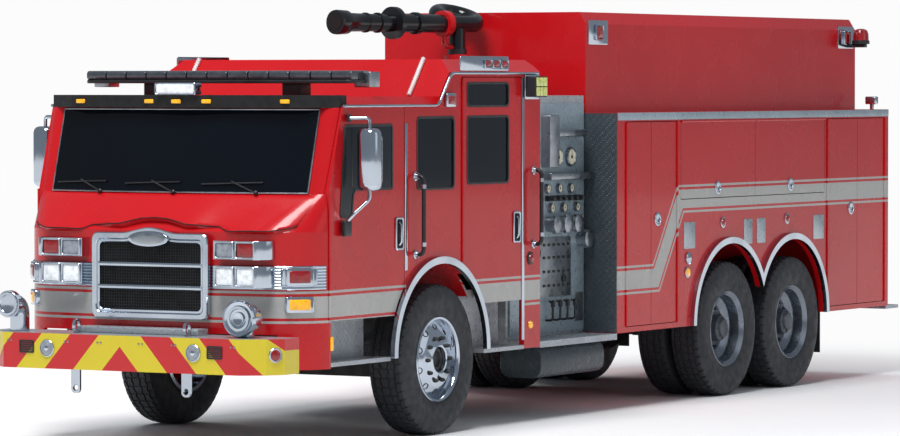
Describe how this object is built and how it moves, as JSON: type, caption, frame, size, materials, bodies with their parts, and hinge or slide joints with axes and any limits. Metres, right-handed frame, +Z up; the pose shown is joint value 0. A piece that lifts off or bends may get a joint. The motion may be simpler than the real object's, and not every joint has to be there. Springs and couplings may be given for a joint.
{
  "type": "fire engine",
  "caption": "Fire engine with a four-door cab, side pump panel, roof water monitor, closed body lockers and tandem twin rear wheels.",
  "frame": {"origin": "on the ground under the middle of the truck's length and width", "axes": "+X to the truck's left, +Y to its rear, +Z up; the front faces -Y"},
  "size_m": [2.976, 10.659, 3.239],
  "materials": {
    "bare_aluminium": "tread plate",
    "black_plastic": "satin black",
    "black_steel": "chassis black",
    "bumper_paint": "red with yellow bands",
    "chrome": "polished",
    "glass": "tinted",
    "lamp": "lamps in bright housings",
    "red_paint": "gloss red paint",
    "rubber": "black tyre rubber",
    "vinyl": "dark grey vinyl"
  },
  "bodies": {
    "root": {"axles": "black_steel", "body_left": "red_paint", "body_right": "red_paint", "bumper": "bumper_paint", "bumper_fittings": "chrome", "cab_glass": "glass", "cab_interior": "vinyl", "cab_shell": "red_paint", "chassis_frame": "black_steel", "engine_block": "black_steel", "grab_rails": "black_plastic", "grille": "chrome", "lamps": "lamp", "light_bar": "black_plastic", "monitor_base": "red_paint", "mud_flaps": "rubber", "pump_controls": "bare_aluminium", "pump_house": "bare_aluminium", "steps": "bare_aluminium", "sun_visor": "black_plastic", "water_tank": "red_paint", "wheel_arches": "chrome"},
    "door_front_left": {"door_front_left": "red_paint", "door_glass_front_left": "glass", "mirror_left": "chrome"},
    "door_rear_left": {"door_rear_left": "red_paint", "door_glass_rear_left": "glass"},
    "locker_front_one_left": {"locker_front_one_left": "red_paint"},
    "locker_front_two_left": {"locker_front_two_left": "red_paint"},
    "locker_rear_one_left": {"locker_rear_one_left": "red_paint"},
    "locker_rear_two_left": {"locker_rear_two_left": "red_paint"},
    "lift_door_one_left": {"lift_door_one_left": "red_paint"},
    "lift_door_two_left": {"lift_door_two_left": "red_paint"},
    "steer_left": {"knuckle_left": "black_steel"},
    "wheel_front_left": {"tyre_front_left": "rubber", "rim_front_left": "chrome"},
    "wheels_middle_left": {"tyres_middle_left": "rubber", "rims_middle_left": "chrome"},
    "wheels_rear_left": {"tyres_rear_left": "rubber", "rims_rear_left": "chrome"},
    "door_front_right": {"door_front_right": "red_paint", "door_glass_front_right": "glass", "mirror_right": "chrome"},
    "door_rear_right": {"door_rear_right": "red_paint", "door_glass_rear_right": "glass"},
    "locker_front_one_right": {"locker_front_one_right": "red_paint"},
    "locker_front_two_right": {"locker_front_two_right": "red_paint"},
    "locker_rear_one_right": {"locker_rear_one_right": "red_paint"},
    "locker_rear_two_right": {"locker_rear_two_right": "red_paint"},
    "lift_door_one_right": {"lift_door_one_right": "red_paint"},
    "lift_door_two_right": {"lift_door_two_right": "red_paint"},
    "steer_right": {"knuckle_right": "black_steel"},
    "wheel_front_right": {"tyre_front_right": "rubber", "rim_front_right": "chrome"},
    "wheels_middle_right": {"tyres_middle_right": "rubber", "rims_middle_right": "chrome"},
    "wheels_rear_right": {"tyres_rear_right": "rubber", "rims_rear_right": "chrome"},
    "monitor": {"monitor_barrel": "red_paint"}
  },
  "joints": [
    {"name": "door_front_left_hinge", "type": "hinge", "parent": "root", "child": "door_front_left", "pos_m": [1.25073, -4.5265, 1.5], "axis": [0, 0, -1], "range_deg": [0, 75]},
    {"name": "door_rear_left_hinge", "type": "hinge", "parent": "root", "child": "door_rear_left", "pos_m": [1.25073, -2.6165, 1.5], "axis": [0, 0, -1], "range_deg": [0, 80]},
    {"name": "locker_front_one_left_hinge", "type": "hinge", "parent": "root", "child": "locker_front_one_left", "pos_m": [1.25073, 0.0305, 1.5], "axis": [0, 0, -1], "range_deg": [0, 90]},
    {"name": "locker_front_two_left_hinge", "type": "hinge", "parent": "root", "child": "locker_front_two_left", "pos_m": [1.25073, 0.9295, 1.5], "axis": [0, 0, 1], "range_deg": [0, 90]},
    {"name": "locker_rear_one_left_hinge", "type": "hinge", "parent": "root", "child": "locker_rear_one_left", "pos_m": [1.25073, 3.8145, 1.5], "axis": [0, 0, -1], "range_deg": [0, 90]},
    {"name": "locker_rear_two_left_hinge", "type": "hinge", "parent": "root", "child": "locker_rear_two_left", "pos_m": [1.25073, 5.0175, 1.5], "axis": [0, 0, 1], "range_deg": [0, 90]},
    {"name": "lift_door_one_left_hinge", "type": "hinge", "parent": "root", "child": "lift_door_one_left", "pos_m": [1.25073, 2.3775, 2.286], "axis": [0, -1, 0], "range_deg": [0, 90]},
    {"name": "lift_door_two_left_hinge", "type": "hinge", "parent": "root", "child": "lift_door_two_left", "pos_m": [1.25073, 2.3775, 2.286], "axis": [0, -1, 0], "range_deg": [0, 90]},
    {"name": "steer_left", "type": "hinge", "parent": "root", "child": "steer_left", "pos_m": [0.97, -2.9565, 0.559], "axis": [0, 0, 1], "range_deg": [-35, 35]},
    {"name": "wheel_front_left_spin", "type": "hinge", "parent": "steer_left", "child": "wheel_front_left", "pos_m": [1.095, -2.9565, 0.559], "axis": [1, 0, 0], "continuous": true},
    {"name": "wheels_middle_left_spin", "type": "hinge", "parent": "root", "child": "wheels_middle_left", "pos_m": [0.965, 1.8845, 0.559], "axis": [1, 0, 0], "continuous": true},
    {"name": "wheels_rear_left_spin", "type": "hinge", "parent": "root", "child": "wheels_rear_left", "pos_m": [0.965, 3.1295, 0.559], "axis": [1, 0, 0], "continuous": true},
    {"name": "door_front_right_hinge", "type": "hinge", "parent": "root", "child": "door_front_right", "pos_m": [-1.25073, -4.5265, 1.5], "axis": [0, 0, 1], "range_deg": [0, 75]},
    {"name": "door_rear_right_hinge", "type": "hinge", "parent": "root", "child": "door_rear_right", "pos_m": [-1.25073, -2.6165, 1.5], "axis": [0, 0, 1], "range_deg": [0, 80]},
    {"name": "locker_front_one_right_hinge", "type": "hinge", "parent": "root", "child": "locker_front_one_right", "pos_m": [-1.25073, 0.0305, 1.5], "axis": [0, 0, 1], "range_deg": [0, 90]},
    {"name": "locker_front_two_right_hinge", "type": "hinge", "parent": "root", "child": "locker_front_two_right", "pos_m": [-1.25073, 0.9295, 1.5], "axis": [0, 0, -1], "range_deg": [0, 90]},
    {"name": "locker_rear_one_right_hinge", "type": "hinge", "parent": "root", "child": "locker_rear_one_right", "pos_m": [-1.25073, 3.8145, 1.5], "axis": [0, 0, 1], "range_deg": [0, 90]},
    {"name": "locker_rear_two_right_hinge", "type": "hinge", "parent": "root", "child": "locker_rear_two_right", "pos_m": [-1.25073, 5.0175, 1.5], "axis": [0, 0, -1], "range_deg": [0, 90]},
    {"name": "lift_door_one_right_hinge", "type": "hinge", "parent": "root", "child": "lift_door_one_right", "pos_m": [-1.25073, 2.3775, 2.286], "axis": [0, 1, 0], "range_deg": [0, 90]},
    {"name": "lift_door_two_right_hinge", "type": "hinge", "parent": "root", "child": "lift_door_two_right", "pos_m": [-1.25073, 2.3775, 2.286], "axis": [0, 1, 0], "range_deg": [0, 90]},
    {"name": "steer_right", "type": "hinge", "parent": "root", "child": "steer_right", "pos_m": [-0.97, -2.9565, 0.559], "axis": [0, 0, 1], "range_deg": [-35, 35]},
    {"name": "wheel_front_right_spin", "type": "hinge", "parent": "steer_right", "child": "wheel_front_right", "pos_m": [-1.095, -2.9565, 0.559], "axis": [1, 0, 0], "continuous": true},
    {"name": "wheels_middle_right_spin", "type": "hinge", "parent": "root", "child": "wheels_middle_right", "pos_m": [-0.965, 1.8845, 0.559], "axis": [1, 0, 0], "continuous": true},
    {"name": "wheels_rear_right_spin", "type": "hinge", "parent": "root", "child": "wheels_rear_right", "pos_m": [-0.965, 3.1295, 0.559], "axis": [1, 0, 0], "continuous": true},
    {"name": "monitor_turn", "type": "hinge", "parent": "root", "child": "monitor", "pos_m": [0, -0.4965, 2.87], "axis": [0, 0, 1], "range_deg": [-90, 90]}
  ],
  "couplings": [
    {"joint": "steer_right", "follows": "steer_left", "ratio": 1}
  ]
}
